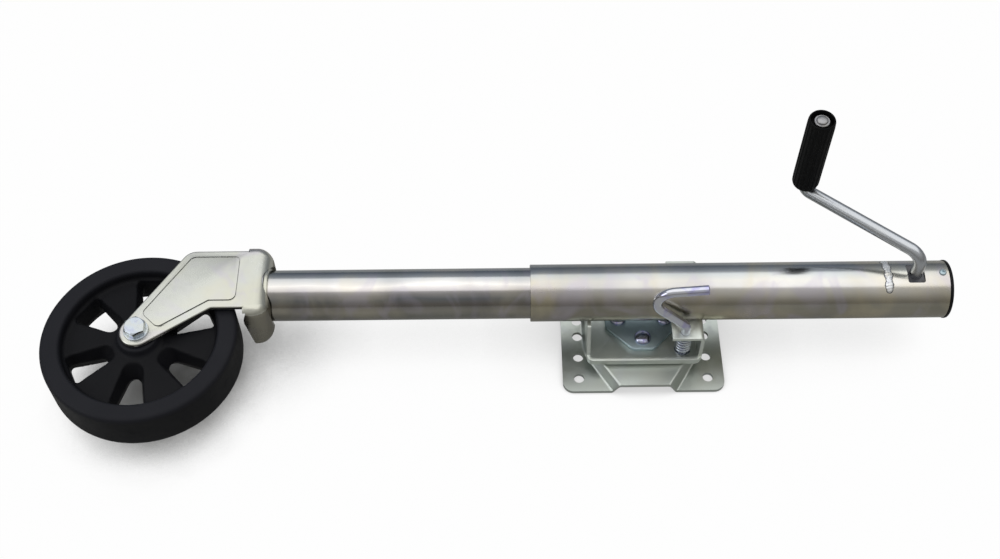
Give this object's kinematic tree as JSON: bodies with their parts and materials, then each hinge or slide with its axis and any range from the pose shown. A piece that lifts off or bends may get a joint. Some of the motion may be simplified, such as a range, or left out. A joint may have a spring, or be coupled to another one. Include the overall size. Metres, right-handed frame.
{
  "type": "trailer jack",
  "caption": "Side-wind telescopic trailer jack with a caster wheel, a swivel mounting bracket with a spring lock pin, and a crank handle with a ribbed grip.",
  "frame": {"origin": "swivel axis of the bracket in the plane of its mounting face, which is the centre of the bolt pattern", "axes": "+Z is the outward normal of the mounting face, from the vehicle towards the tubes; +X runs along the tubes towards the crank end; the jack is wound out at rest"},
  "size_m": [0.891, 0.2564, 0.229],
  "materials": {
    "zinc_bracket": "satin",
    "zinc_tube": "polished",
    "zinc_yoke": "satin",
    "blue_zinc": "satin",
    "bright_rod": "polished",
    "bolt_steel": "satin",
    "plain_steel": "satin",
    "gear_steel": "satin",
    "bronze": "satin",
    "wheel_plastic": "matte",
    "grip_plastic": "matte",
    "cap_plastic": "matte",
    "bush_plastic": "satin"
  },
  "bodies": {
    "bracket": {"base_bracket": "zinc_bracket"},
    "jack": {"swivel_saddle": "zinc_bracket", "rivet_plate": "blue_zinc", "pivot_rivets": "bolt_steel", "pivot_spacer": "plain_steel", "retaining_disc": "plain_steel", "outer_tube": "zinc_tube", "bearing_plate": "bolt_steel", "end_cap": "cap_plastic", "cap_rivet": "bolt_steel", "upper_bush": "bolt_steel", "lower_bush": "bronze", "lock_spring": "bright_rod"},
    "lock_pin": {"lock_pin": "bright_rod", "lock_pin_clip": "bolt_steel"},
    "leg": {"inner_tube": "zinc_tube", "lead_nut": "bronze", "nut_pins": "plain_steel", "leg_plug": "plain_steel", "swivel_collar": "bolt_steel", "kingpin": "plain_steel", "kingpin_washer": "plain_steel"},
    "yoke": {"caster_yoke": "zinc_yoke", "swivel_washer": "plain_steel", "axle_bolt": "bolt_steel", "axle_nut": "bolt_steel", "axle_washers": "bolt_steel", "axle_sleeve": "plain_steel"},
    "wheel": {"wheel": "wheel_plastic", "hub_bushes": "bush_plastic"},
    "screw": {"lead_screw": "plain_steel", "thrust_washer": "plain_steel", "screw_gear": "gear_steel", "gear_pin": "plain_steel"},
    "crank": {"crank_handle": "bright_rod", "crank_pinion": "gear_steel", "pinion_pin": "plain_steel", "grip_rivet": "bolt_steel"},
    "grip": {"grip": "grip_plastic"}
  },
  "joints": [
    {"name": "bracket_swivel", "type": "hinge", "parent": "bracket", "child": "jack", "pos_m": [0, 0, 0], "axis": [0, 0, 1], "continuous": true},
    {"name": "lock_pin_slide", "type": "slide", "parent": "jack", "child": "lock_pin", "axis": [0, 0, 1], "range_m": [-0.006, 0], "deforming": ["lock_spring"]},
    {"name": "crank_turn", "type": "hinge", "parent": "jack", "child": "crank", "pos_m": [0.265, 0, 0.071], "axis": [0, 0, 1], "range_deg": [0, 27000]},
    {"name": "grip_spin", "type": "hinge", "parent": "crank", "child": "grip", "pos_m": [0.16158, 0.08801, 0.133], "axis": [0, 0, 1], "continuous": true},
    {"name": "screw_spin", "type": "hinge", "parent": "jack", "child": "screw", "pos_m": [0.265, 0, 0.071], "axis": [1, 0, 0], "continuous": true},
    {"name": "leg_slide", "type": "slide", "parent": "jack", "child": "leg", "axis": [1, 0, 0], "range_m": [0, 0.25]},
    {"name": "yoke_swivel", "type": "hinge", "parent": "leg", "child": "yoke", "pos_m": [-0.38, 0, 0.071], "axis": [1, 0, 0], "continuous": true},
    {"name": "wheel_spin", "type": "hinge", "parent": "yoke", "child": "wheel", "pos_m": [-0.4945, -0.06, 0.071], "axis": [0, 0, 1], "continuous": true}
  ],
  "couplings": [
    {"joint": "screw_spin", "follows": "crank_turn", "ratio": 0.66667},
    {"joint": "leg_slide", "follows": "crank_turn", "m_per_rad": 0.00053052}
  ]
}
